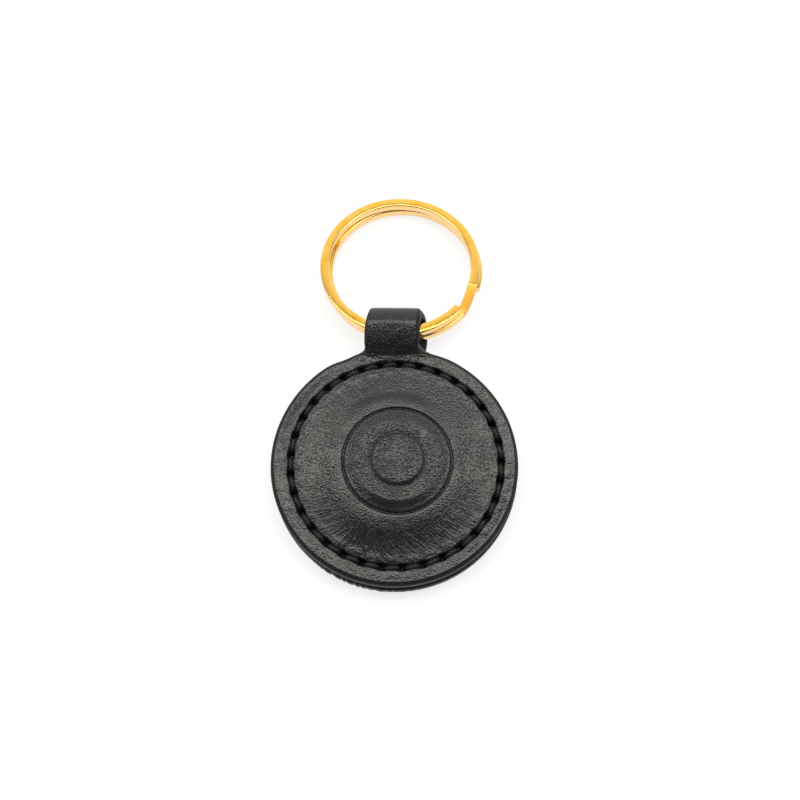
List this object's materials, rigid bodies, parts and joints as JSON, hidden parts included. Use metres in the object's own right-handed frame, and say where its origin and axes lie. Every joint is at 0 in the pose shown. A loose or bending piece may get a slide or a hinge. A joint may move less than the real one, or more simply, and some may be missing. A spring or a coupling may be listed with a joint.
{
  "type": "nfc keychain",
  "caption": "Round stitched leather key fob with an NFC tag sewn between its discs and a strap folded over a swinging gold split ring.",
  "frame": {"origin": "on the back face, under the middle of the leather disc", "axes": "+X to the right and +Y towards the ring as seen from the front, +Z out of the front face"},
  "size_m": [0.04, 0.0696, 0.0076],
  "materials": {
    "black_leather": "black full-grain leather with fine pebble grain, soft sheen and painted edges",
    "black_thread": "black waxed twisted thread",
    "cement": "dried contact cement",
    "adhesive_pad": "double-sided adhesive film",
    "tag_cover": "white satin plastic",
    "antenna_foil": "etched foil",
    "inlay_film": "clear polyester film",
    "chip": "black encapsulated chip",
    "gold_ring": "polished gold-plated flat wire"
  },
  "bodies": {
    "fob": {"front_panel": "black_leather", "back_panel": "black_leather", "upper_thread": "black_thread", "lower_thread": "black_thread", "rim_adhesive": "cement", "tag_adhesive_pad": "adhesive_pad", "tag_back_cover": "tag_cover", "antenna_bridge": "antenna_foil", "inlay_sheet": "inlay_film", "antenna_coil": "antenna_foil", "nfc_chip": "chip", "tag_front_cover": "tag_cover"},
    "ring": {"split_ring": "gold_ring"}
  },
  "joints": [
    {"name": "ring_swing", "type": "hinge", "parent": "fob", "child": "ring", "pos_m": [0.00095, 0.0232, 0.00382], "axis": [1, 0, 0], "range_deg": [-130, 165]}
  ]
}
